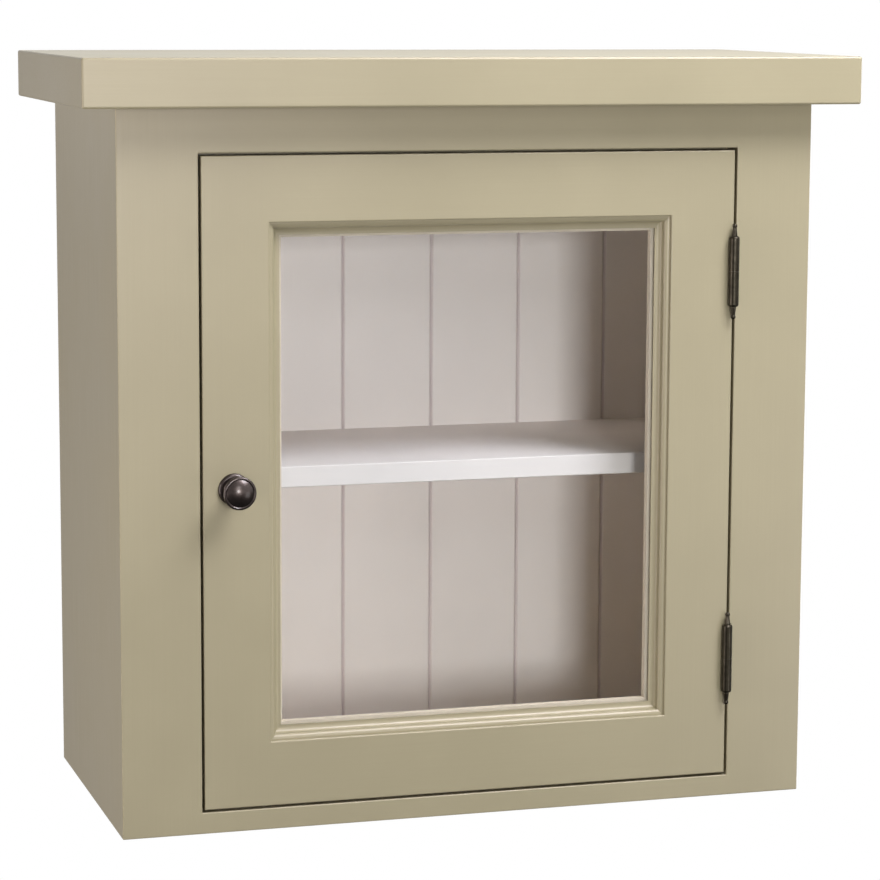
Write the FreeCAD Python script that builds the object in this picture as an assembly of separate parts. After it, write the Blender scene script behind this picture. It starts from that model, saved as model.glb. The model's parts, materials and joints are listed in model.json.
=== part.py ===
import FreeCAD, Part
import math
import os

# Glazed wall cabinet in millimetres. X runs to the right seen from the front, Y into the wall, Z up.
# The origin is on the wall, at the middle of the four wall fixings.

# Carcass
cabinet_width = 600.0
cabinet_height = 600.0
cabinet_depth = 285.0
panel_thickness = 18.0
housing_depth = 6.0
shelf_thickness = 18.0
shelf_top_height = 296.0
shelf_setback = 60.0

# Thick top board
top_board_thickness = 40.0
top_overhang_front = 31.0
top_overhang_side = 32.0
top_board_arris = 2.0

# Back of tongued and grooved boards on two hanging rails
back_board_thickness = 9.0
back_board_count = 7
back_board_trim = 3.0
back_board_joint_gap = 0.4
back_board_bevel = 2.0
tongue_thickness = 3.0
tongue_length = 5.0
tongue_clearance = 0.2
back_rebate_width = 9.0
back_edge_clearance = 0.3
hanging_rail_thickness = 10.0
hanging_rail_height = 90.0
wall_hole_radius = 2.75
wall_hole_inset = 16.0

# Face frame
frame_thickness = 24.0
frame_stile_width = 67.0
frame_top_rail_height = 37.0
frame_bottom_rail_height = 18.0
frame_tenon_length = 30.0
frame_tenon_thickness = 8.0
frame_tenon_margin = 3.0
arris = 1.0

# Door
door_gap = 2.2
door_thickness = 24.0
door_stile_flat = 55.4
door_rail_flat = 53.4
moulding_width = 12.0
flat_edge_round = 1.2
quirk_depth = 2.8
ogee_margin = 0.8
fillet_width = 1.8
fillet_depth = 11.0
glass_depth = 13.0
glass_overlap = 8.0
glass_thickness = 3.0
glass_edge_clearance = 1.0
bead_reveal = 2.2
bead_round = 1.5
door_tenon_length = 40.0
door_tenon_thickness = 8.0
door_tenon_margin = 7.5
tenon_end_clearance = 1.0

# Hinges with two knuckles and a finial at each end
hinge_end_distance = 102.5
hinge_length = 60.0
knuckle_radius = 4.4
knuckle_end_round = 2.0
hinge_axis_stand_off = 4.6
hinge_axis_shift = 2.2
hinge_pin_radius = 2.0
hinge_running_clearance = 0.05
hinge_washer_thickness = 0.6
hinge_washer_inset = 0.25
hinge_lift_gap = 0.1
leaf_thickness = 1.8
leaf_width = 20.0
leaf_clearance = 0.35
finial_length = 10.8
finial_ball_radius = 2.1
finial_collar_radius = 2.3
finial_collar_height = 1.2
finial_neck_radius = 1.6
finial_spigot_length = 4.0
leaf_screw_count = 3
leaf_screw_stagger = 3.0

# Knob
knob_edge_distance = 26.0
knob_drop = 2.0
knob_radius = 13.8
knob_projection = 26.0
knob_neck_radius = 6.5
knob_neck_flare = 1.0
knob_rim_thickness = 3.4
knob_dome_radius = 11.3
knob_dome_height = 3.0
knob_groove_depth = 0.6
rose_radius = 13.4
rose_thickness = 4.0
rose_step = 1.2
rose_raised_radius = 9.2
knob_screw_radius = 2.0
knob_screw_grip = 10.0
knob_screw_head_radius = 4.0
knob_screw_head_height = 2.4

# Door stop with bumpers and a magnetic catch
stop_thickness = 18.0
stop_behind_stile = 22.0
stop_door_lap = 12.0
stop_relief = 1.5
stop_contact_gap = 0.3
bumper_radius = 4.0
bumper_end_distance = 60.0
magnet_radius = 4.0
magnet_length = 10.0
magnet_spacing = 160.0
strike_radius = 5.0
strike_thickness = 1.2

# Fasteners
screw_shank_radius = 1.6
screw_head_radius = 3.3
screw_head_height = 1.8
screw_slot_width = 0.7
screw_slot_depth = 0.8
leaf_screw_length = 16.0
rail_screw_length = 45.0
top_screw_length = 40.0
top_screw_inset_side = 80.0
top_screw_inset_front = 40.0
strike_screw_shank_radius = 0.9
strike_screw_head_radius = 2.0
strike_screw_head_height = 1.0
strike_screw_length = 10.0
nail_radius = 0.9
nail_head_radius = 2.0
nail_head_height = 0.8
nail_length = 32.0
glazing_pin_radius = 0.6
glazing_pin_bite = 7.0
glazing_pin_end_distance = 40.0
dowel_radius = 4.0
dowel_length = 30.0
dowel_end_distance = 90.0
dowel_end_clearance = 1.0
pilot_clearance = 0.05
hole_run_out = 5.0

Vector = FreeCAD.Vector
X_AXIS = Vector(1, 0, 0)
Y_AXIS = Vector(0, 1, 0)
Z_AXIS = Vector(0, 0, 1)

# Places that several pieces share
wall = 0.0
front = wall - cabinet_depth
frame_back = front + frame_thickness
side_out = cabinet_width / 2
side_in = side_out - panel_thickness
bottom = -cabinet_height / 2
top = cabinet_height / 2
panel_reach = side_in + housing_depth
rail_face = wall - hanging_rail_thickness
board_face = rail_face - back_board_thickness
back_reach = side_in + back_rebate_width
back_board_pitch = 2 * (back_reach + back_board_trim) / back_board_count
shelf_top = bottom + shelf_top_height
shelf_bottom = shelf_top - shelf_thickness
shelf_front = front + shelf_setback
top_panel_bottom = top - panel_thickness
bottom_panel_top = bottom + panel_thickness

opening_side = side_out - frame_stile_width
opening_top = top - frame_top_rail_height
opening_bottom = bottom + frame_bottom_rail_height
door_side = opening_side - door_gap
door_top = opening_top - door_gap
door_bottom = opening_bottom + door_gap
door_back = front + door_thickness
door_middle = (door_top + door_bottom) / 2
door_height = door_top - door_bottom
sight_side = door_side - door_stile_flat - moulding_width
sight_half_height = door_height / 2 - door_rail_flat - moulding_width
glass_front = front + glass_depth
glass_back = glass_front + glass_thickness
bead_depth = door_back - glass_back

hinge_x = (door_side + opening_side) / 2 - hinge_axis_shift
hinge_y = front - hinge_axis_stand_off
hinge_heights = {"upper": door_top - hinge_end_distance, "lower": door_bottom + hinge_end_distance}
knuckle_length = (hinge_length - hinge_washer_thickness - hinge_lift_gap) / 2
knob_place = Vector(-door_side + knob_edge_distance, front, door_middle - knob_drop)
stop_face = frame_back + stop_relief
stop_contact = door_back + stop_contact_gap
stop_lap_middle = -door_side + stop_door_lap / 2


# Shapes that several pieces are made of

def block(x_range, y_range, z_range):
    """A rectangular solid between two places on each axis."""
    lengths = [high - low for low, high in (x_range, y_range, z_range)]
    return Part.makeBox(*lengths, Vector(x_range[0], y_range[0], z_range[0]))


def outline(start, *steps):
    """A flat face in the XY plane. A point is a straight run, a pair of points an arc through the first."""
    edges = []
    here = Vector(*start, 0)
    for step in steps + (start,):
        is_arc = isinstance(step[0], tuple)
        there = Vector(*(step[1] if is_arc else step), 0)
        if is_arc:
            edges.append(Part.Arc(here, Vector(*step[0], 0), there).toShape())
        elif (there - here).Length > 1e-6:
            edges.append(Part.makeLine(here, there))
        here = there
    return Part.Face(Part.Wire(edges))


def turned(face):
    """A solid of revolution about Y from an outline of radius and height."""
    return face.revolve(Vector(0, 0, 0), Y_AXIS, 360)


def pointed(shape, place, direction):
    """A solid made along +Y, set at a place and pointed in a direction."""
    moved = shape.copy()
    moved.Placement = FreeCAD.Placement(place, FreeCAD.Rotation(Y_AXIS, direction))
    return moved


def rod(place, direction, radius, length):
    return Part.makeCylinder(radius, length, place, direction)


def eased(shape, radius, is_wanted):
    """The shape with a small round on each edge whose middle is wanted."""
    edges = [edge for edge in shape.Edges if is_wanted(edge.CenterOfMass)]
    return shape.makeFillet(radius, edges)


def at(value, place):
    return abs(value - place) < 1e-4


def without(shape, cutters):
    return shape.cut(Part.makeCompound(cutters)) if cutters else shape


def mirrored_x(shape):
    return shape.mirror(Vector(0, 0, 0), X_AXIS)


def countersunk(head_radius, head_height, shank_radius, length, clearance=0.0):
    """A wood screw or its hole along +Y, with the top of its head at the origin."""
    tip = 2 * shank_radius
    head = head_radius + clearance
    shank = shank_radius + clearance
    end = length + clearance
    return turned(outline((0, 0), (head, 0), (shank, head_height), (shank, end - tip), (0, end)))


def slotted(screw, head_radius):
    half = screw_slot_width / 2
    slot = block((-head_radius, head_radius), (0, screw_slot_depth), (-half, half))
    return screw.cut(slot)


def nail(clearance=0.0):
    head = nail_head_radius + clearance
    shank = nail_radius + clearance
    end = nail_length + clearance
    tip = 2 * nail_radius
    face = outline((0, 0), (head, 0), (head, nail_head_height), (shank, nail_head_height),
                   (shank, end - tip), (0, end))
    return turned(face)


def wood_screw(length, clearance=0.0):
    return countersunk(screw_head_radius, screw_head_height, screw_shank_radius, length, clearance)


def placed(shape, places, direction):
    return [pointed(shape, place, direction) for place in places]


# Fastener places, shared by the fasteners and their holes

def board_edges():
    """The left and right edge of each back board, with the outer two trimmed to the side rebates."""
    limit = back_reach - back_edge_clearance
    edges = []
    for number in range(back_board_count):
        left = (number - back_board_count / 2) * back_board_pitch + back_board_joint_gap / 2
        right = left + back_board_pitch - back_board_joint_gap
        edges.append((max(left, -limit), min(right, limit)))
    return edges


def nail_places():
    """One nail into the bottom, the shelf and the top, in the middle of each board."""
    panels = ((bottom, bottom_panel_top), (shelf_bottom, shelf_top), (top_panel_bottom, top))
    heights = [(low + high) / 2 for low, high in panels]
    middles = [(left + right) / 2 for left, right in board_edges()]
    return [Vector(middle, rail_face, height) for middle in middles for height in heights]


def rail_screw_places():
    """Two screws each side of the middle of each rail, a quarter board from a nail."""
    heights = ((bottom + bottom_panel_top) / 2, (top_panel_bottom + top) / 2)
    inner = back_board_pitch + back_board_pitch / 4
    outer = 3 * back_board_pitch - back_board_pitch / 4
    return [Vector(x, wall, height) for x in (-outer, -inner, inner, outer) for height in heights]


def wall_hole_places():
    """Four holes in a rectangle, near the sides and in the middle of each hanging rail."""
    reach_x = side_in - wall_hole_inset
    reach_z = top - hanging_rail_height / 2
    return [Vector(x, wall, z) for x in (-reach_x, reach_x) for z in (-reach_z, reach_z)]


def top_screw_places():
    across = (-side_in + top_screw_inset_side, 0.0, side_in - top_screw_inset_side)
    along = (frame_back + top_screw_inset_front, board_face - top_screw_inset_front)
    return [Vector(x, y, top_panel_bottom) for x in across for y in along]


def dowel_places():
    """Dowels from the back of the face frame into the front edges of the sides, the top and the bottom."""
    side_line = (side_in + side_out) / 2
    heights = (bottom + dowel_end_distance, (bottom + top) / 2, top - dowel_end_distance)
    places = [Vector(x, frame_back, z) for x in (-side_line, side_line) for z in heights]
    rails = ((bottom + bottom_panel_top) / 2, (top_panel_bottom + top) / 2)
    places += [Vector(x, frame_back, z) for x in (-opening_side / 2, opening_side / 2) for z in rails]
    return places


def leaf_screw_places(side):
    """Staggered screws down the middle of each hinge leaf, on its bare face."""
    pitch = hinge_length / leaf_screw_count
    places = []
    for height in hinge_heights.values():
        for number in range(leaf_screw_count):
            z = height + (number - (leaf_screw_count - 1) / 2) * pitch
            y = front + leaf_width / 2 + leaf_screw_stagger * (1 if number % 2 else -1)
            places.append(Vector(side, y, z))
    return places


def strike_heights():
    return (door_middle - magnet_spacing / 2, door_middle + magnet_spacing / 2)


def glazing_pin_lines():
    """Start and direction of each glazing pin, from the bare edge of the bead through it into the door."""
    depth = (glass_back + door_back) / 2
    side = sight_side - bead_reveal
    low = door_middle - sight_half_height + bead_reveal
    high = door_middle + sight_half_height - bead_reveal
    lines = []
    for z in (low + glazing_pin_end_distance, door_middle, high - glazing_pin_end_distance):
        lines.append((Vector(-side, depth, z), -X_AXIS))
        lines.append((Vector(side, depth, z), X_AXIS))
    for x in (-side + glazing_pin_end_distance, side - glazing_pin_end_distance):
        lines.append((Vector(x, depth, low), -Z_AXIS))
        lines.append((Vector(x, depth, high), Z_AXIS))
    return lines


def glazing_pins(clearance=0.0):
    length = bead_reveal + glass_overlap + glazing_pin_bite + clearance
    return [rod(place, way, glazing_pin_radius + clearance, length) for place, way in glazing_pin_lines()]


def dowels(radial=0.0, end=0.0):
    half = dowel_length / 2 + end
    return [rod(place - Y_AXIS * half, Y_AXIS, dowel_radius + radial, 2 * half) for place in dowel_places()]


dowel_holes = dowels(pilot_clearance, dowel_end_clearance)
nail_holes = placed(nail(pilot_clearance), nail_places(), -Y_AXIS)
rail_screw_holes = placed(wood_screw(rail_screw_length, pilot_clearance), rail_screw_places(), -Y_AXIS)
top_screw_holes = placed(wood_screw(top_screw_length, pilot_clearance), top_screw_places(), Z_AXIS)
wall_depth = wall - board_face + 2 * hole_run_out
wall_holes = [rod(place + Y_AXIS * hole_run_out, -Y_AXIS, wall_hole_radius, wall_depth)
              for place in wall_hole_places()]
leaf_screw_hole = wood_screw(leaf_screw_length, pilot_clearance)
door_screw_holes = placed(leaf_screw_hole, leaf_screw_places(door_side), -X_AXIS)
frame_screw_holes = placed(leaf_screw_hole, leaf_screw_places(opening_side), X_AXIS)
pin_holes = glazing_pins(pilot_clearance)


# Carcass

def left_side():
    body = block((-side_out, -side_in), (frame_back, wall), (bottom, top))
    body = eased(body, arris, lambda c: at(c.x, -side_out) and (at(c.z, bottom) or at(c.y, wall)))
    inner = (-panel_reach, -side_in)
    housings = [
        block(inner, (frame_back, board_face), (bottom, bottom_panel_top)),
        block(inner, (frame_back, board_face), (top_panel_bottom, top)),
        block(inner, (shelf_front, board_face), (shelf_bottom, shelf_top)),
        block((-back_reach, -side_in), (board_face, wall), (bottom, top)),
    ]
    return without(body, housings + dowel_holes)


def bottom_panel():
    body = block((-panel_reach, panel_reach), (frame_back, board_face), (bottom, bottom_panel_top))
    return without(body, dowel_holes + nail_holes + rail_screw_holes)


def top_panel():
    body = block((-panel_reach, panel_reach), (frame_back, board_face), (top_panel_bottom, top))
    return without(body, dowel_holes + nail_holes + rail_screw_holes + top_screw_holes)


def shelf():
    body = block((-panel_reach, panel_reach), (shelf_front, board_face), (shelf_bottom, shelf_top))
    body = eased(body, arris, lambda c: at(c.y, shelf_front) and not at(abs(c.x), panel_reach))
    return without(body, nail_holes)


def top_board():
    reach = side_out + top_overhang_side
    body = block((-reach, reach), (front - top_overhang_front, wall), (top, top + top_board_thickness))
    body = eased(body, top_board_arris, lambda c: not at(c.y, wall))
    return without(body, top_screw_holes)


def back_board(left, right):
    """One upright board with a groove on its left edge, a tongue on its right and bevels at the front."""
    limit = back_reach - back_edge_clearance
    bevel = back_board_bevel
    tongue_back = rail_face - (back_board_thickness - tongue_thickness) / 2
    tongue_front = tongue_back - tongue_thickness
    body = block((left, right), (board_face, rail_face), (bottom, top))
    if right < limit:
        joint = (right - tongue_clearance, right + tongue_length)
        body = body.fuse(block(joint, (tongue_front, tongue_back), (bottom, top))).removeSplitter()
        corner = outline((right - bevel, board_face), (right, board_face), (right, board_face + bevel))
        body = body.cut(lifted(corner))
    if left > -limit:
        slack = tongue_clearance
        depth = tongue_length - back_board_joint_gap + slack
        groove = block((left, left + depth), (tongue_front - slack, tongue_back + slack), (bottom, top))
        corner = outline((left, board_face), (left + bevel, board_face), (left, board_face + bevel))
        body = body.cut(groove).cut(lifted(corner))
    return without(body, nail_holes + rail_screw_holes + wall_holes)


def lifted(face):
    """An outline in plan, raised over the whole height of the carcass."""
    solid = face.extrude(Z_AXIS * (top - bottom))
    solid.translate(Z_AXIS * bottom)
    return solid


def hanging_rail(low):
    body = block((-back_reach, back_reach), (rail_face, wall), (low, low + hanging_rail_height))
    return without(body, rail_screw_holes + wall_holes)


# Face frame

def frame_tenons(rail_low, rail_high, end_clearance=0.0):
    """The tenon at each end of a frame rail, or with clearance its mortise."""
    middle = (front + frame_back) / 2
    depth = (middle - frame_tenon_thickness / 2, middle + frame_tenon_thickness / 2)
    height = (rail_low + frame_tenon_margin, rail_high - frame_tenon_margin)
    reach = opening_side + frame_tenon_length + end_clearance
    return [block((-reach, -opening_side), depth, height), block((opening_side, reach), depth, height)]


def opening_round(length):
    """What rounds the front arris of the frame's opening takes away, along +Z from the origin."""
    bend = arris * (1 - math.sqrt(0.5))
    corner = outline((0, 0), (arris, 0), ((bend, bend), (0, arris)))
    return corner.extrude(Z_AXIS * length)


def frame_stile():
    """The left stile. Its front arris is rounded between the rails."""
    body = block((-side_out, -opening_side), (front, frame_back), (bottom, top))
    body = eased(body, arris, lambda c: (at(c.x, -side_out) and (at(c.y, front) or at(c.z, bottom)))
                 or (at(c.y, front) and at(c.z, bottom)))
    round_off = opening_round(opening_top - opening_bottom)
    round_off.rotate(Vector(0, 0, 0), Z_AXIS, 90)
    round_off.translate(Vector(-opening_side, front, opening_bottom))
    mortises = frame_tenons(bottom, opening_bottom, tenon_end_clearance)
    mortises += frame_tenons(opening_top, top, tenon_end_clearance)
    return without(body, mortises + [round_off] + dowel_holes)


def frame_rail(low, high, eased_heights):
    body = block((-opening_side, opening_side), (front, frame_back), (low, high))
    body = eased(body, arris, lambda c: at(c.y, front) and any(at(c.z, height) for height in eased_heights))
    body = body.multiFuse(frame_tenons(low, high)).removeSplitter()
    return without(body, dowel_holes)


def door_stop():
    """A strip behind the left stile that the closed door meets, relieved where the door laps it."""
    reach = (-opening_side - stop_behind_stile, -door_side + stop_door_lap)
    body = block(reach, (frame_back, frame_back + stop_thickness), (bottom_panel_top, top_panel_bottom))
    relief = block((-opening_side, reach[1]), (frame_back, stop_face), (bottom_panel_top, top_panel_bottom))
    sockets = [rod(Vector(stop_lap_middle, stop_face, z), Y_AXIS, magnet_radius + pilot_clearance,
                   magnet_length - (stop_face - stop_contact)) for z in strike_heights()]
    return without(body, [relief] + sockets)


def top_stop():
    """A strip behind the top rail that closes the gap over the door, relieved where the door laps it."""
    across = (-door_side + stop_door_lap, opening_side)
    low = door_top - stop_door_lap
    body = block(across, (frame_back, frame_back + stop_thickness), (low, top_panel_bottom))
    return body.cut(block(across, (frame_back, stop_face), (low, opening_top)))


# Door

def door_section(flat):
    """The section of a door member with its ogee: width along X from the door's edge, depth along Y."""
    sight = flat + moulding_width
    rebate = sight - glass_overlap
    quirk = flat + flat_edge_round
    bend = flat_edge_round * (1 - math.sqrt(0.5))
    start = (quirk + ogee_margin, quirk_depth)
    end = (sight - fillet_width, fillet_depth)
    middle = ((start[0] + end[0]) / 2, (start[1] + end[1]) / 2)
    turn = 2 * math.atan2(end[1] - start[1], end[0] - start[0])
    radius = (end[0] - start[0]) / (2 * math.sin(turn))
    along = radius * math.sin(turn / 2)
    down = radius * (1 - math.cos(turn / 2))
    round_middle = (start[0] + along, start[1] + down)
    hollow_middle = (end[0] - along, end[1] - down)
    return outline((0, 0), (flat, 0), ((quirk - bend, bend), (quirk, flat_edge_round)), (quirk, quirk_depth),
                   start, (round_middle, middle), (hollow_middle, end), (sight, fillet_depth),
                   (sight, glass_depth), (rebate, glass_depth), (rebate, door_thickness), (0, door_thickness))


def door_member(flat, length, mitre_start):
    """A member standing along Z, with its moulding mitred from a height at both ends."""
    body = door_section(flat).extrude(Z_AXIS * length)
    body.translate(-Z_AXIS * length / 2)
    far = flat + moulding_width + hole_run_out
    for end in (-1, 1):
        heel = end * mitre_start
        nose = end * (mitre_start - (far - flat))
        beyond = end * (length / 2 + hole_run_out)
        corner = Part.makePolygon([Vector(flat, 0, heel), Vector(far, 0, nose), Vector(far, 0, beyond),
                                   Vector(flat, 0, beyond), Vector(flat, 0, heel)])
        body = body.cut(Part.Face(corner).extrude(Y_AXIS * door_thickness))
    return body


def door_tenons(end_clearance=0.0):
    """The tenon at each end of the bottom rail, or with clearance its mortise."""
    middle = (front + door_back) / 2
    depth = (middle - door_tenon_thickness / 2, middle + door_tenon_thickness / 2)
    height = (door_bottom + door_tenon_margin, door_bottom + door_rail_flat - door_tenon_margin)
    shoulder = door_side - door_stile_flat
    reach = shoulder + door_tenon_length + end_clearance
    return [block((-reach, -shoulder), depth, height), block((shoulder, reach), depth, height)]


def mirrored_z(shape):
    """The shape turned over about the middle height of the door."""
    return shape.mirror(Vector(0, 0, door_middle), Z_AXIS)


def door_stile():
    """The left stile, before its hardware is let in."""
    body = door_member(door_stile_flat, door_height, door_height / 2 - door_rail_flat)
    body.translate(Vector(-door_side, front, door_middle))
    body = eased(body, arris, lambda c: at(c.y, front) and (at(c.x, -door_side) or at(c.z, door_bottom)
                                                            or at(c.z, door_top)))
    mortises = door_tenons(tenon_end_clearance)
    return without(body, mortises + [mirrored_z(mortise) for mortise in mortises])


def door_bottom_rail():
    """The bottom rail, with a tenon at each end."""
    length = 2 * (door_side - door_stile_flat)
    body = door_member(door_rail_flat, length, length / 2)
    body.rotate(Vector(0, 0, 0), Y_AXIS, -90)
    body.translate(Vector(0, front, door_bottom))
    body = eased(body, arris, lambda c: at(c.y, front) and at(c.z, door_bottom))
    return body.multiFuse(door_tenons()).removeSplitter()


def knob_stile():
    body = door_stile()
    holes = [rod(knob_place, Y_AXIS, knob_screw_radius + pilot_clearance, door_thickness)]
    for z in strike_heights():
        place = Vector(stop_lap_middle, door_back, z)
        holes.append(rod(place, -Y_AXIS, strike_radius + pilot_clearance, strike_thickness))
        holes.append(pointed(strike_screw(pilot_clearance), place, -Y_AXIS))
    return without(body, holes + pin_holes)


def hinge_gains(x_range):
    """The recesses for the two hinge leaves on one side of the gap."""
    half = hinge_length / 2
    return [block(x_range, (front, front + leaf_width), (height - half, height + half))
            for height in hinge_heights.values()]


def hinge_stile():
    gains = hinge_gains((door_side - leaf_thickness, door_side))
    return without(mirrored_x(door_stile()), gains + door_screw_holes + pin_holes)


def frame_hinge_stile():
    gains = hinge_gains((opening_side, opening_side + leaf_thickness))
    return without(mirrored_x(frame_stile()), gains + frame_screw_holes)


def glass_pane():
    reach = glass_overlap - glass_edge_clearance
    half = sight_side + reach
    height = sight_half_height + reach
    return block((-half, half), (glass_front, glass_back), (door_middle - height, door_middle + height))


def bead(length):
    """A glazing bead standing along Z, mitred, a little proud of the sight edge, with a rounded corner."""
    bend = bead_round * (1 - math.sqrt(0.5))
    wide = glass_overlap + bead_reveal
    deep = bead_depth
    face = outline((0, 0), (wide, 0), (wide, deep - bead_round),
                   ((wide - bend, deep - bend), (wide - bead_round, deep)), (0, deep))
    body = face.extrude(Z_AXIS * length)
    body.translate(-Z_AXIS * length / 2)
    for end in (-length / 2, length / 2):
        nose = end - math.copysign(wide, end)
        corner = Part.makePolygon([Vector(0, 0, end), Vector(wide, 0, end), Vector(wide, 0, nose),
                                   Vector(0, 0, end)])
        body = body.cut(Part.Face(corner).extrude(Y_AXIS * deep))
    return body


def side_bead():
    body = bead(2 * (sight_half_height + glass_overlap))
    body.translate(Vector(-sight_side - glass_overlap, glass_back, door_middle))
    return without(body, pin_holes)


def bottom_bead():
    body = bead(2 * (sight_side + glass_overlap))
    body.rotate(Vector(0, 0, 0), Y_AXIS, -90)
    body.translate(Vector(0, glass_back, door_middle - sight_half_height - glass_overlap))
    return without(body, pin_holes)


# Hinges

def hinge_rod(level, radius, length):
    """An upright cylinder on the hinge axis."""
    return rod(Vector(hinge_x, hinge_y, level), Z_AXIS, radius, length)


def knuckle_levels(height):
    """The bottom of the lower knuckle and the bottom of the upper one, on the hinge at a height."""
    return height - hinge_length / 2, height + hinge_length / 2 - knuckle_length


def leaf(height, x_range, is_upper, screw_holes):
    """A leaf let into the wood, with its root and its knuckle, clear of the knuckle of the other leaf."""
    lower, upper = knuckle_levels(height)
    middle_gap = hinge_length - 2 * knuckle_length
    own = upper if is_upper else lower
    outer_end = upper + knuckle_length if is_upper else lower
    other_start = lower if is_upper else upper - middle_gap
    plate = block(x_range, (front, front + leaf_width), (lower, lower + hinge_length))
    half = leaf_thickness / 2
    web = outline((x_range[0], front), (x_range[1], front),
                  (hinge_x + half, hinge_y), (hinge_x - half, hinge_y))
    root = web.extrude(Z_AXIS * knuckle_length)
    root.translate(Z_AXIS * own)
    barrel = eased(hinge_rod(own, knuckle_radius, knuckle_length), knuckle_end_round,
                   lambda c: at(c.z, outer_end))
    other_room = hinge_rod(other_start, knuckle_radius + leaf_clearance, knuckle_length + middle_gap)
    bore = hinge_rod(lower, hinge_pin_radius + hinge_running_clearance, hinge_length)
    body = plate.multiFuse([root, barrel]).removeSplitter()
    return without(body, [other_room, bore] + screw_holes)


def frame_leaf(height):
    return leaf(height, (opening_side, opening_side + leaf_thickness), False, frame_screw_holes)


def door_leaf(height):
    return leaf(height, (door_side - leaf_thickness, door_side), True, door_screw_holes)


def hinge_pin(height):
    length = hinge_length - 2 * finial_spigot_length
    return hinge_rod(height - length / 2, hinge_pin_radius, length)


def hinge_washer(height):
    seat = knuckle_levels(height)[0] + knuckle_length
    ring = hinge_rod(seat, knuckle_radius - hinge_washer_inset, hinge_washer_thickness)
    return ring.cut(hinge_rod(seat, hinge_pin_radius + hinge_running_clearance, hinge_washer_thickness))


def finial(height, way):
    """A turned tip on the end of a knuckle: spigot, collar, tapered neck and a ball."""
    spigot = hinge_pin_radius
    ball = finial_ball_radius
    ball_middle = finial_length - ball
    neck_top = ball_middle - math.sqrt(ball ** 2 - finial_neck_radius ** 2)
    face = outline((0, -finial_spigot_length), (spigot, -finial_spigot_length), (spigot, 0),
                   (finial_collar_radius, 0), (finial_collar_radius, finial_collar_height),
                   (finial_neck_radius, neck_top), ((ball, ball_middle), (0, finial_length)))
    return pointed(turned(face), Vector(hinge_x, hinge_y, height + way * hinge_length / 2), Z_AXIS * way)


# Knob and catch

def dome_middle(radius, base, crown):
    """The middle of an arc from the edge of a spherical dome to its crown, as radius and height."""
    height = crown - base
    sphere = (radius ** 2 + height ** 2) / (2 * height)
    half_turn = math.atan2(radius, sphere - height) / 2
    return sphere * math.sin(half_turn), crown - sphere + sphere * math.cos(half_turn)


def knob():
    """A turned knob: neck, flared back, rounded rim and a domed face inside a fine groove."""
    rim_front = knob_projection - knob_dome_height
    rim_back = rim_front - knob_rim_thickness
    rim_middle = (rim_back + rim_front) / 2
    rim_in = knob_radius - knob_rim_thickness / 2
    flare = (knob_neck_radius + knob_neck_flare, (rose_thickness + 2 * rim_back) / 3)
    groove = rim_front - knob_groove_depth
    dome = dome_middle(knob_dome_radius, groove, knob_projection)
    bore = knob_screw_radius + pilot_clearance
    bore_end = rose_thickness + knob_screw_grip
    face = outline((bore, rose_thickness), (knob_neck_radius, rose_thickness), (flare, (rim_in, rim_back)),
                   ((knob_radius, rim_middle), (rim_in, rim_front)), (knob_dome_radius, groove),
                   (dome, (0, knob_projection)), (0, bore_end), (bore, bore_end))
    return pointed(turned(face), knob_place, -Y_AXIS)


def knob_rose():
    """The round plate under the knob, with a rounded edge and a raised middle."""
    edge = rose_thickness - rose_step
    bend = edge * (1 - math.sqrt(0.5))
    inner = rose_raised_radius
    bore = knob_screw_radius + pilot_clearance
    round_middle = (rose_radius - bend, edge - bend)
    face = outline((bore, 0), (rose_radius, 0), (round_middle, (rose_radius - edge, edge)),
                   (inner, edge), (inner - rose_step, rose_thickness), (bore, rose_thickness))
    return pointed(turned(face), knob_place, -Y_AXIS)


def knob_screw():
    """A round headed screw from the back of the door into the knob."""
    head = knob_screw_head_radius
    shank = door_thickness + rose_thickness + knob_screw_grip
    crown = -knob_screw_head_height
    dome = dome_middle(head, 0, knob_screw_head_height)
    face = outline((0, crown), ((dome[0], -dome[1]), (head, 0)), (knob_screw_radius, 0),
                   (knob_screw_radius, shank), (0, shank))
    half = screw_slot_width / 2
    slot = block((-head, head), (crown, crown + screw_slot_depth), (-half, half))
    return pointed(turned(face).cut(slot), Vector(knob_place.x, door_back, knob_place.z), -Y_AXIS)


def strike_screw(clearance=0.0):
    return countersunk(strike_screw_head_radius, strike_screw_head_height, strike_screw_shank_radius,
                       strike_screw_length, clearance)


def strike_plates():
    plates = []
    for z in strike_heights():
        place = Vector(stop_lap_middle, door_back, z)
        disc = rod(place, -Y_AXIS, strike_radius, strike_thickness)
        plates.append(disc.cut(pointed(strike_screw(pilot_clearance), place, -Y_AXIS)))
    return plates


def strike_screws():
    places = [Vector(stop_lap_middle, door_back, z) for z in strike_heights()]
    return placed(slotted(strike_screw(), strike_screw_head_radius), places, -Y_AXIS)


def catch_magnets():
    places = [Vector(stop_lap_middle, stop_contact, z) for z in strike_heights()]
    return [rod(place, Y_AXIS, magnet_radius, magnet_length) for place in places]


def stop_bumpers():
    places = [Vector(stop_lap_middle, stop_contact, z)
              for z in (door_bottom + bumper_end_distance, door_top - bumper_end_distance)]
    return [rod(place, Y_AXIS, bumper_radius, stop_face - stop_contact) for place in places]


# All pieces by name. A list is a group of like pieces in one node.

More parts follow.
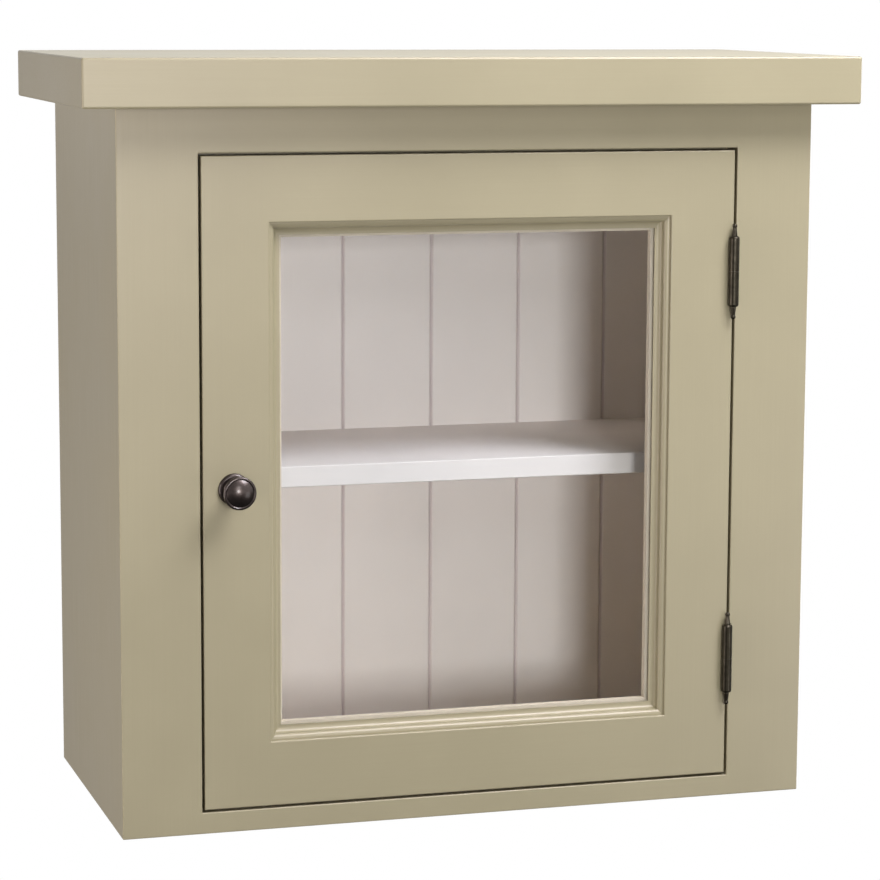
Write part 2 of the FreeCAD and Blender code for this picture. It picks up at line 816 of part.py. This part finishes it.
pieces = {
    "left_side": left_side(),
    "right_side": mirrored_x(left_side()),
    "top_panel": top_panel(),
    "bottom_panel": bottom_panel(),
    "shelf": shelf(),
    "top_board": top_board(),
    "hanging_rail_top": hanging_rail(top - hanging_rail_height),
    "hanging_rail_bottom": hanging_rail(bottom),
    "frame_left_stile": frame_stile(),
    "frame_right_stile": frame_hinge_stile(),
    "frame_top_rail": frame_rail(opening_top, top, (opening_top,)),
    "frame_bottom_rail": frame_rail(bottom, opening_bottom, (bottom, opening_bottom)),
    "door_stop": door_stop(),
    "top_stop": top_stop(),
    "stop_bumpers": stop_bumpers(),
    "catch_magnets": catch_magnets(),
    "door_knob_stile": knob_stile(),
    "door_hinge_stile": hinge_stile(),
    "door_bottom_rail": without(door_bottom_rail(), pin_holes),
    "door_top_rail": without(mirrored_z(door_bottom_rail()), pin_holes),
    "glass_pane": glass_pane(),
    "glazing_bead_left": side_bead(),
    "glazing_bead_right": mirrored_x(side_bead()),
    "glazing_bead_bottom": bottom_bead(),
    "glazing_bead_top": mirrored_z(bottom_bead()),
    "glazing_pins": glazing_pins(),
    "knob": knob(),
    "knob_rose": knob_rose(),
    "knob_screw": knob_screw(),
    "strike_plates": strike_plates(),
    "strike_screws": strike_screws(),
    "frame_dowels": dowels(),
    "back_board_nails": placed(nail(), nail_places(), -Y_AXIS),
    "hanging_rail_screws": placed(slotted(wood_screw(rail_screw_length), screw_head_radius),
                                  rail_screw_places(), -Y_AXIS),
    "top_board_screws": placed(slotted(wood_screw(top_screw_length), screw_head_radius),
                               top_screw_places(), Z_AXIS),
    "door_leaf_screws": placed(slotted(wood_screw(leaf_screw_length), screw_head_radius),
                               leaf_screw_places(door_side), -X_AXIS),
    "frame_leaf_screws": placed(slotted(wood_screw(leaf_screw_length), screw_head_radius),
                                leaf_screw_places(opening_side), X_AXIS),
}
for number, (left, right) in enumerate(board_edges(), start=1):
    pieces["back_board_%d" % number] = back_board(left, right)
for name, height in hinge_heights.items():
    pieces["hinge_%s_frame_leaf" % name] = frame_leaf(height)
    pieces["hinge_%s_door_leaf" % name] = door_leaf(height)
    pieces["hinge_%s_pin" % name] = hinge_pin(height)
    pieces["hinge_%s_washer" % name] = hinge_washer(height)
    pieces["hinge_%s_top_finial" % name] = finial(height, 1)
    pieces["hinge_%s_bottom_finial" % name] = finial(height, -1)

os.makedirs("parts", exist_ok=True)
for name, shape in pieces.items():
    solid = Part.makeCompound(shape) if isinstance(shape, list) else shape
    solid.exportStep("parts/%s.step" % name)
    counted = (name, len(solid.Solids), solid.Volume, solid.isValid())
    print("%-26s solids %2d  volume %10.0f  valid %s" % counted)
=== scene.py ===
import json
import math

import bpy
from mathutils import Matrix, Vector


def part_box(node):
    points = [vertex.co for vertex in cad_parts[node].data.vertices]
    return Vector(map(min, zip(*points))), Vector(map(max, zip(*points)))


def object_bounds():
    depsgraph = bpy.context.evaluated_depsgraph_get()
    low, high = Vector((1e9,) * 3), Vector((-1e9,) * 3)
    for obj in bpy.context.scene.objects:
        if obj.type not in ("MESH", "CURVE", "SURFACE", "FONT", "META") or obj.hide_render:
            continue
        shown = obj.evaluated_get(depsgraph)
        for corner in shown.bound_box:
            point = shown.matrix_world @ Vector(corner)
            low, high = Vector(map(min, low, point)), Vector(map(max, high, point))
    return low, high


# Glazed kitchen wall cabinet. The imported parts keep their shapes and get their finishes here, in metres.

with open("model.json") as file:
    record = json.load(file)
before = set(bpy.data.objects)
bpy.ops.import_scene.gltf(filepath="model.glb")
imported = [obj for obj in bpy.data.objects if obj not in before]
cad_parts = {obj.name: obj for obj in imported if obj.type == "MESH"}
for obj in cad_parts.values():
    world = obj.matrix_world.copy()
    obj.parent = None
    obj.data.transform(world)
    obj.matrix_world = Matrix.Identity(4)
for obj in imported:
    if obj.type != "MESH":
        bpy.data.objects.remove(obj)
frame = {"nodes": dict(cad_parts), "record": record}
cad_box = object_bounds()

# Camera, found from the edges of the cabinet in the photograph
photo_size = 880
camera_place = Vector((-0.7544, -2.6917, 0.3916))
camera_yaw = math.radians(16.772)
camera_pitch = math.radians(-8.347)
camera_roll = math.radians(0.266)
focal_length_pixels = 3049.4
sensor_width = 36.0

# Paint, timber, metal and glass colours, as linear values
sage = (0.317, 0.281, 0.178, 1.0)
off_white = (0.95, 0.89, 0.88, 1.0)
# The shelf's front edge is painted darker, as painted shade
shelf_edge_painted_shade = (0.68, 0.645, 0.635, 1.0)
cream = (0.83, 0.69, 0.46, 1.0)
pale_cream = (0.79, 0.715, 0.60, 1.0)
bead_stone = (0.66, 0.58, 0.47, 1.0)
# Colour of the painted shade in the joints between the back boards
joint_painted_shade = (0.80, 0.715, 0.72, 1.0)
pine_pale = (0.66, 0.47, 0.27, 1.0)
pine_dark = (0.50, 0.32, 0.16, 1.0)
bronze_dark = (0.027, 0.0185, 0.016, 1.0)
bronze_rubbed = (0.068, 0.050, 0.045, 1.0)
hinge_dark = (0.021, 0.017, 0.0105, 1.0)
hinge_rubbed = (0.050, 0.042, 0.029, 1.0)
zinc_bright = (0.62, 0.63, 0.65, 1.0)
zinc_dull = (0.40, 0.41, 0.43, 1.0)
rubber_dark = (0.030, 0.029, 0.028, 1.0)
rubber_dusty = (0.075, 0.072, 0.068, 1.0)
glass_tint = (0.985, 0.995, 0.985, 1.0)
glass_shadow_tint = (0.97, 0.975, 0.97, 1.0)
white = (1.0, 1.0, 1.0, 1.0)

# Paint: its gloss, and a slow mottle, brush marks and the grain under it
outer_roughness = 0.35
outer_sheen = 0.62
outer_sheen_tint = (1.0, 0.88, 0.88, 1.0)
inner_roughness = 0.57
inner_sheen = 0.2
gloss_patchiness = 0.06
mottle_scale = 9.0
mottle_low = 0.965
mottle_high = 1.035
brush_scale = 900.0
brush_stretch = 90.0
brush_share = 0.35
brush_shade = 0.94
brush_height = 0.00005
grain_scale = 160.0
grain_stretch = 26.0
grain_height = 0.00012
# Width of the painted shade lines in the joints between the back boards
joint_line_width = 0.0017
# How far back from the shelf's front edge the painted shade fades out
shelf_fade = 0.12

# Pine: growth rings cut lengthways, and fibres
ring_scale = 60.0
ring_stretch = 30.0
ring_turns = 30.0
late_wood_share = 0.5
fibre_scale = 1400.0
fibre_stretch = 60.0
fibre_share = 0.4
fibre_shade = 0.85
fibre_height = 0.0001
board_tone_share = 0.5
# Painted shade along the seams between the back boards, as a share of dark pine
seam_shade = 0.4

# Metal, rubber and glass
bronze_patch = 0.006
bronze_smooth = 0.28
bronze_rough = 0.46
zinc_patch = 0.002
zinc_smooth = 0.25
zinc_rough = 0.45
speck_height = 0.00004
knob_lacquer = 0.65
hinge_lacquer = 0.2
lacquer_roughness = 0.22
rubber_dust_scale = 700.0
rubber_dust_height = 0.0001
glass_ior = 1.2
wiping_scale = 30.0
wiping_stretch = 6.0
wiping_roughness = 0.03

# Light: soft boxes in front, above, at the sides and behind
lamp_target = Vector((0.0, -0.25, 0.0))
plain_light = (1.0, 1.0, 1.0)
warm_light = (1.0, 0.92, 0.90)
cool_light = (0.91, 0.91, 1.0)
lamps = (
    dict(name="front_lamp", place=(-0.25, -5.23, 0.48), width=0.80, height=0.80, power=89.0),
    dict(name="high_lamp", place=(0.00, -4.50, 1.75), width=1.00, height=0.80, power=17.4),
    dict(name="upper_lamp", place=(0.64, -1.02, 1.24), width=0.58, height=0.58, power=24.5,
         colour=cool_light),
    dict(name="overhead_lamp", place=(0.50, -0.70, 1.65), width=1.20, height=1.00, power=22.5),
    dict(name="left_lamp", place=(-1.60, -0.48, -0.05), width=1.10, height=1.10, power=16.5,
         colour=warm_light),
    dict(name="right_lamp", place=(1.05, -1.45, -0.40), width=0.60, height=0.60, power=3.0),
    dict(name="right_fill", place=(1.75, 0.35, -0.25), width=1.10, height=1.00, power=17.0),
    dict(name="rear_fill", place=(0.55, 2.20, -0.25), width=1.10, height=1.00, power=24.0),
)

# Surroundings as the gloss of the paint shows them: the left of the room is dimmed
left_mirrored = 0.45
left_wall_edge = -0.3

# The cabinet hangs, so the floor lies some way under it, and it too is dimmed in the gloss
floor_drop = 1.40
floor_size = 60.0
floor_colour = (0.86, 0.86, 0.86, 1.0)
floor_roughness = 0.9
floor_shadow_reach = 1.2
floor_mirrored = 0.45
front_floor_mirrored = 0.1
floor_near = 5.0

# Where the finishes change on a piece
face_margin = 0.0005
inner_paint_depth = 0.0095
side_inner_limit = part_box("right_side")[0].x + inner_paint_depth
carcass_end_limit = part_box("right_side")[1].z - face_margin
rear_of_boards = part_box("back_board_4")[1].y - face_margin
board_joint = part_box("back_board_5")[0].x
board_pitch = board_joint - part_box("back_board_4")[0].x
shelf_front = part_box("shelf")[0].y


# Node helpers

def plug(tree, socket, value):
    """Links a socket to another socket, or sets it to a value."""
    if isinstance(value, bpy.types.NodeSocket):
        tree.links.new(value, socket)
    else:
        socket.default_value = value


def add(tree, kind, inputs=None, **settings):
    """A new node with its settings, and each input linked to a socket or set to a value."""
    made = tree.nodes.new(kind)
    for name, value in settings.items():
        setattr(made, name, value)
    for name, value in (inputs or {}).items():
        plug(tree, made.inputs[name], value)
    return made


def object_place(tree):
    return add(tree, "ShaderNodeTexCoord").outputs["Object"]


def apart(tree, place):
    """The X, Y and Z of a place."""
    return add(tree, "ShaderNodeSeparateXYZ", {"Vector": place}).outputs


def along_grain(tree, axis, stretch):
    """Object coordinates drawn out along one axis, so that a noise on them runs with the grain."""
    scale = [1.0, 1.0, 1.0]
    scale[axis] = 1.0 / stretch
    return add(tree, "ShaderNodeMapping", {"Vector": object_place(tree), "Scale": scale}).outputs["Vector"]


def noise(tree, place, scale, detail=3.0, roughness=0.5):
    inputs = {"Vector": place, "Scale": scale, "Detail": detail, "Roughness": roughness}
    return add(tree, "ShaderNodeTexNoise", inputs).outputs["Fac"]


def spread(tree, value, low, high, from_low=0.3, from_high=0.7):
    """A value between two levels, by default one that follows a noise."""
    inputs = {"Value": value, "From Min": from_low, "From Max": from_high, "To Min": low, "To Max": high}
    return add(tree, "ShaderNodeMapRange", inputs).outputs["Result"]


def math_node(tree, operation, first, second=0.0):
    made = add(tree, "ShaderNodeMath", operation=operation)
    plug(tree, made.inputs[0], first)
    plug(tree, made.inputs[1], second)
    return made.outputs["Value"]


def mixed(tree, factor, first, second):
    """A colour between two colours, each a socket or a value."""
    made = add(tree, "ShaderNodeMix", data_type="RGBA")
    first_colour, second_colour = made.inputs[6], made.inputs[7]
    plug(tree, made.inputs["Factor"], factor)
    plug(tree, first_colour, first)
    plug(tree, second_colour, second)
    return made.outputs[2]


def shaded(colour, amount):
    return tuple(channel * amount for channel in colour[:3]) + (1.0,)


def bumped(tree, height, distance, strength, normal=None):
    inputs = {"Height": height, "Distance": distance, "Strength": strength}
    if normal is not None:
        inputs["Normal"] = normal
    return add(tree, "ShaderNodeBump", inputs).outputs["Normal"]


def new_surface(name):
    """A new material, its node tree and its one Principled shader."""
    material = bpy.data.materials.new(name)
    material.use_nodes = True
    tree = material.node_tree
    return material, tree, tree.nodes["Principled BSDF"]


def feed(tree, shader, **inputs):
    """Links or sets shader inputs, named with underscores for spaces."""
    for name, value in inputs.items():
        plug(tree, shader.inputs[name.replace("_", " ")], value)


def show_mixed(tree, factor, first, second):
    """Gives a material two shaders, the second one where the factor is 1."""
    both = add(tree, "ShaderNodeMixShader", {0: factor, 1: first, 2: second})
    tree.links.new(both.outputs["Shader"], tree.nodes["Material Output"].inputs["Surface"])


# Finishes

def paint_layers(tree, axis, colour):
    """Brushed eggshell paint: its colour, the patchiness of its gloss and its surface normal."""
    mottle = noise(tree, object_place(tree), mottle_scale, detail=4.0)
    brush = noise(tree, along_grain(tree, axis, brush_stretch), brush_scale, roughness=0.6)
    grain = noise(tree, along_grain(tree, axis, grain_stretch), grain_scale, detail=4.0, roughness=0.6)
    mottled = spread(tree, mottle, 0.0, 1.0)
    tone = mixed(tree, mottled, shaded(colour, mottle_low), shaded(colour, mottle_high))
    tone = mixed(tree, spread(tree, brush, 0.0, brush_share), tone, shaded(colour, brush_shade))
    unevenness = math_node(tree, "ADD", mottle, brush)
    patchiness = spread(tree, unevenness, -gloss_patchiness, gloss_patchiness, 0.6, 1.4)
    normal = bumped(tree, grain, grain_height, 0.5)
    normal = bumped(tree, brush, brush_height, 0.6, normal)
    return tone, patchiness, normal


def outer_gloss(tree, shader, tone, patchiness, normal):
    roughness = math_node(tree, "ADD", patchiness, outer_roughness)
    feed(tree, shader, Base_Color=tone, Roughness=roughness, Normal=normal,
         Specular_IOR_Level=outer_sheen, Specular_Tint=outer_sheen_tint)


def inner_gloss(tree, shader, tone, patchiness, normal):
    roughness = math_node(tree, "ADD", patchiness, inner_roughness)
    feed(tree, shader, Base_Color=tone, Roughness=roughness, Normal=normal, Specular_IOR_Level=inner_sheen)


def between_ends(tree, height):
    """1 at heights between the top and the underside of the carcass, and 0 on them."""
    return math_node(tree, "LESS_THAN", math_node(tree, "ABSOLUTE", height), carcass_end_limit)


def outer_paint(name, axis):
    material, tree, shader = new_surface(name)
    outer_gloss(tree, shader, *paint_layers(tree, axis, sage))
    return material


def two_tone_paint(name, axis, inner_colour):
    """Sage paint outside the carcass, and another paint on the faces inside it."""
    material, tree, shader = new_surface(name)
    place = apart(tree, object_place(tree))
    from_middle = math_node(tree, "ABSOLUTE", place["X"])
    within_sides = math_node(tree, "LESS_THAN", from_middle, side_inner_limit)
    inside = math_node(tree, "MULTIPLY", within_sides, between_ends(tree, place["Z"]))
    outer, patchiness, normal = paint_layers(tree, axis, sage)
    inner = paint_layers(tree, axis, inner_colour)[0]
    outer_gloss(tree, shader, mixed(tree, inside, outer, inner), patchiness, normal)
    return material


def shelf_paint(name, axis):
    """Off-white paint, darker towards the front edge: painted shade that tones down the light falling on the
    edge.
    """
    material, tree, shader = new_surface(name)
    depth = apart(tree, object_place(tree))["Y"]
    shaded_edge, patchiness, normal = paint_layers(tree, axis, shelf_edge_painted_shade)
    unshaded = paint_layers(tree, axis, off_white)[0]
    # Painted shade: the front edge darker than the rest of the shelf
    tone = mixed(tree, spread(tree, depth, 0.0, 1.0, shelf_front, shelf_front + shelf_fade), shaded_edge, unshaded)
    inner_gloss(tree, shader, tone, patchiness, normal)
    return material


def bead_paint(name, axis):
    material, tree, shader = new_surface(name)
    inner_gloss(tree, shader, *paint_layers(tree, axis, bead_stone))
    return material


def timber_layers(tree, axis):
    """Planed pine: its colour, roughness and surface normal."""
    rings = noise(tree, along_grain(tree, axis, ring_stretch), ring_scale, detail=2.0, roughness=0.4)
    bands = math_node(tree, "SINE", math_node(tree, "MULTIPLY", rings, ring_turns))
    fibre = noise(tree, along_grain(tree, axis, fibre_stretch), fibre_scale, detail=2.0)
    late_wood = spread(tree, bands, 0.0, late_wood_share, -0.2, 1.0)
    tone = mixed(tree, late_wood, pine_pale, pine_dark)
    tone = mixed(tree, spread(tree, fibre, 0.0, fibre_share), tone, shaded(pine_dark, fibre_shade))
    roughness = spread(tree, fibre, 0.55, 0.75)
    return tone, roughness, bumped(tree, fibre, fibre_height, 0.6)


def bare_timber(name, axis):
    material, tree, shader = new_surface(name)
    tone, roughness, normal = timber_layers(tree, axis)
    feed(tree, shader, Base_Color=tone, Roughness=roughness, Normal=normal)
    return material


def board_paint(name, axis):
    """Off-white paint with painted shade in the joints between the boards, sage ends, and bare pine behind
    with painted shade along its seams.
    """
    material, tree, shader = new_surface(name)
    place = apart(tree, object_place(tree))
    behind = math_node(tree, "GREATER_THAN", place["Y"], rear_of_boards)
    across = math_node(tree, "SUBTRACT", place["X"], board_joint - board_pitch / 2.0)
    within = math_node(tree, "FLOORED_MODULO", across, board_pitch)
    from_joint = math_node(tree, "ABSOLUTE", math_node(tree, "SUBTRACT", within, board_pitch / 2.0))

    paint, patchiness, normal = paint_layers(tree, axis, off_white)
    # Painted shade: darker lines along the joints between the boards, where shade falls
    dust_and_joint_shade = spread(tree, from_joint, 1.0, 0.0, 0.5 * joint_line_width, joint_line_width)
    paint = mixed(tree, dust_and_joint_shade, paint, joint_painted_shade)
    paint = mixed(tree, between_ends(tree, place["Z"]), sage, paint)

    from_seam = math_node(tree, "SUBTRACT", place["X"], board_joint)
    board_number = math_node(tree, "FLOOR", math_node(tree, "DIVIDE", from_seam, board_pitch))
    chance = add(tree, "ShaderNodeTexWhiteNoise", {"W": board_number}, noise_dimensions="1D").outputs["Value"]
    # Painted shade along the seams between the boards on the back
    seam_shadow = spread(tree, from_joint, 1.0, 0.0, 0.4 * joint_line_width, 0.6 * joint_line_width)
    pine = timber_layers(tree, axis)[0]
    pine = mixed(tree, spread(tree, chance, 0.0, board_tone_share, 0.0, 1.0), pine, pine_dark)
    pine = mixed(tree, seam_shadow, pine, shaded(pine_dark, seam_shade))

    inner_gloss(tree, shader, mixed(tree, behind, paint, pine), patchiness, normal)
    return material


def metal(name, dark, bright, smooth, rough, patch_size, lacquer=0.0):
    """A metal whose colour and gloss change in small patches, with or without lacquer."""
    material, tree, shader = new_surface(name)
    place = object_place(tree)
    patches = noise(tree, place, 1.0 / patch_size, detail=5.0, roughness=0.6)
    specks = noise(tree, place, 6.0 / patch_size)
    tone = mixed(tree, spread(tree, patches, 0.0, 1.0), dark, bright)
    feed(tree, shader, Base_Color=tone, Metallic=1.0, Roughness=spread(tree, patches, rough, smooth),
         Normal=bumped(tree, specks, speck_height, 0.4), Coat_Weight=lacquer,
         Coat_Roughness=lacquer_roughness)
    return material


def rubber(name):
    material, tree, shader = new_surface(name)
    dust_and_joint_shade = noise(tree, object_place(tree), rubber_dust_scale, detail=4.0)
    tone = mixed(tree, spread(tree, dust_and_joint_shade, 0.0, 1.0), rubber_dark, rubber_dusty)
    feed(tree, shader, Base_Color=tone, Roughness=spread(tree, dust_and_joint_shade, 0.65, 0.85),
         Normal=bumped(tree, dust_and_joint_shade, rubber_dust_height, 0.5))
    return material


def window_glass(name):
    """Clear glass with faint wiping marks, which lets the lamps through."""
    material, tree, shader = new_surface(name)
    wiped = noise(tree, along_grain(tree, 0, wiping_stretch), wiping_scale, detail=4.0)
    feed(tree, shader, Base_Color=glass_tint, Roughness=spread(tree, wiped, 0.0, wiping_roughness),
         IOR=glass_ior, Transmission_Weight=1.0)
    path = add(tree, "ShaderNodeLightPath").outputs
    clear = add(tree, "ShaderNodeBsdfTransparent", {"Color": glass_shadow_tint})
    through = math_node(tree, "MAXIMUM", path["Is Shadow Ray"], path["Is Diffuse Ray"])
    show_mixed(tree, through, shader.outputs["BSDF"], clear.outputs["BSDF"])
    return material


# Each node takes the finish of its slot, with the grain along its longest side

axis_names = ("x", "y", "z")
node_slots = {part["node"]: part["material_slot"] for part in frame["record"]["subparts"]}
finishes = {}


def own_finish(name):
    """The word for a node that has a finish of its own within its slot."""
    for word in ("side", "panel", "bead", "shelf", "hinge"):
        if word in name.split("_"):
            return word
    return ""


def make_finish(slot, own, axis):
    name = "_".join(word for word in (own, slot, axis_names[axis]) if word)
    if own == "side":
        return two_tone_paint("side_paint", axis, cream)
    if own == "panel":
        return two_tone_paint("panel_paint", axis, pale_cream)
    if own == "bead":
        return bead_paint(name, axis)
    if own == "shelf":
        return shelf_paint("shelf_paint", axis)
    if slot == "sage_paint":
        return outer_paint(name, axis)
    if slot == "white_paint":
        return board_paint("board_paint", axis)
    if slot == "bare_timber":
        return bare_timber(name, axis)
    if slot == "clear_glass":
        return window_glass(slot)
    if slot == "zinc_steel":
        return metal(slot, zinc_dull, zinc_bright, zinc_smooth, zinc_rough, zinc_patch)
    if slot == "felt_rubber":
        return rubber(slot)
    if own == "hinge":
        return metal(name, hinge_dark, hinge_rubbed, bronze_smooth, bronze_rough, bronze_patch, hinge_lacquer)
    return metal(name, bronze_dark, bronze_rubbed, bronze_smooth, bronze_rough, bronze_patch, knob_lacquer)


def finish_nodes():
    for name, part in frame["nodes"].items():
        low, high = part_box(name)
        size = high - low
        axis = max(range(3), key=lambda number: size[number])
        slot = node_slots[name]
        has_grain = slot.endswith(("_paint", "_timber"))
        key = (slot, axis if has_grain else 0, own_finish(name))
        if key not in finishes:
            finishes[key] = make_finish(slot, own_finish(name), axis)
        for material_slot in part.material_slots:
            material_slot.material = finishes[key]


finish_nodes()


# Floor, room, lamps and camera

def seen_directly(tree):
    """1 for rays that show a thing to the camera, straight, in a mirror or through glass."""
    path = add(tree, "ShaderNodeLightPath").outputs
    indirectly = math_node(tree, "MAXIMUM", path["Is Glossy Ray"], path["Is Transmission Ray"])
    return math_node(tree, "MAXIMUM", path["Is Camera Ray"], indirectly)


def mirrored_only(tree):
    """1 for rays that show a thing in a mirror, and not through glass."""
    path = add(tree, "ShaderNodeLightPath").outputs
    reflected = math_node(tree, "SUBTRACT", 1.0, path["Is Transmission Ray"])
    return math_node(tree, "MULTIPLY", path["Is Glossy Ray"], reflected)


def make_floor():
    """A floor that keeps the shadow under the cabinet and is white further off."""
    bpy.ops.object.select_all(action="DESELECT")
    level = cad_box[0].z - floor_drop
    bpy.ops.mesh.primitive_plane_add(size=floor_size, location=(0.0, 0.0, level))
    floor = bpy.context.active_object
    floor.name = "floor"
    material, tree, shader = new_surface("pale_floor")
    feed(tree, shader, Base_Color=floor_colour, Roughness=floor_roughness)
    place = object_place(tree)
    distance = add(tree, "ShaderNodeVectorMath", {0: place}, operation="LENGTH").outputs["Value"]
    far = spread(tree, distance, 0.0, 1.0, floor_shadow_reach, 2.0 * floor_shadow_reach)
    depth = apart(tree, place)["Y"]
    before = spread(tree, depth, 1.0, front_floor_mirrored, -floor_size / 2.0, -floor_near)
    behind = spread(tree, depth, 0.0, floor_mirrored, 0.0, floor_near)
    mirrored = mirrored_only(tree)
    loss = math_node(tree, "SUBTRACT", 1.0, math_node(tree, "MAXIMUM", before, behind))
    strength = math_node(tree, "SUBTRACT", 1.0, math_node(tree, "MULTIPLY", mirrored, loss))
    glow = add(tree, "ShaderNodeEmission", {"Color": white, "Strength": strength})
    seen_far = math_node(tree, "MULTIPLY", seen_directly(tree), far)
    glowing = math_node(tree, "MAXIMUM", seen_far, mirrored)
    show_mixed(tree, glowing, shader.outputs["BSDF"], glow.outputs["Emission"])
    floor.data.materials.append(material)


def light_room():
    """A white room that lights nothing by itself, and whose left is dimmer in the gloss."""
    world = bpy.data.worlds.new("studio")
    bpy.context.scene.world = world
    world.use_nodes = True
    tree = world.node_tree
    direction = add(tree, "ShaderNodeTexCoord").outputs["Generated"]
    sideways = apart(tree, direction)["X"]
    left_wall = spread(tree, sideways, 1.0 - left_mirrored, 0.0, left_wall_edge, 0.0)
    dimming = math_node(tree, "MULTIPLY", left_wall, mirrored_only(tree))
    strength = math_node(tree, "SUBTRACT", seen_directly(tree), dimming)
    feed(tree, tree.nodes["Background"], Color=white, Strength=strength)


def add_lamp(name, place, width, height, power, colour=plain_light):
    lamp = bpy.data.lights.new(name, "AREA")
    lamp.shape = "RECTANGLE"
    lamp.size = width
    lamp.size_y = height
    lamp.energy = power
    lamp.color = colour
    holder = bpy.data.objects.new(name, lamp)
    holder.location = place
    holder.rotation_euler = (lamp_target - Vector(place)).to_track_quat("-Z", "Y").to_euler()
    bpy.context.scene.collection.objects.link(holder)


def light_cabinet():
    for lamp in lamps:
        add_lamp(**lamp)


def set_camera():
    level_ahead = Vector((math.sin(camera_yaw), math.cos(camera_yaw), 0.0))
    ahead = level_ahead * math.cos(camera_pitch) + Vector((0.0, 0.0, math.sin(camera_pitch)))
    level_right = Vector((math.cos(camera_yaw), -math.sin(camera_yaw), 0.0))
    level_up = level_right.cross(ahead)
    right = level_right * math.cos(camera_roll) + level_up * math.sin(camera_roll)
    up = level_up * math.cos(camera_roll) - level_right * math.sin(camera_roll)
    lens = bpy.data.cameras.new("photo_camera")
    lens.sensor_width = sensor_width
    lens.lens = focal_length_pixels * sensor_width / photo_size
    camera = bpy.data.objects.new("photo_camera", lens)
    camera.matrix_world = Matrix.Translation(camera_place) @ Matrix((right, up, -ahead)).transposed().to_4x4()
    bpy.context.scene.collection.objects.link(camera)
    bpy.context.scene.camera = camera


make_floor()
light_room()
light_cabinet()
set_camera()
bpy.context.scene.view_settings.view_transform = "Standard"
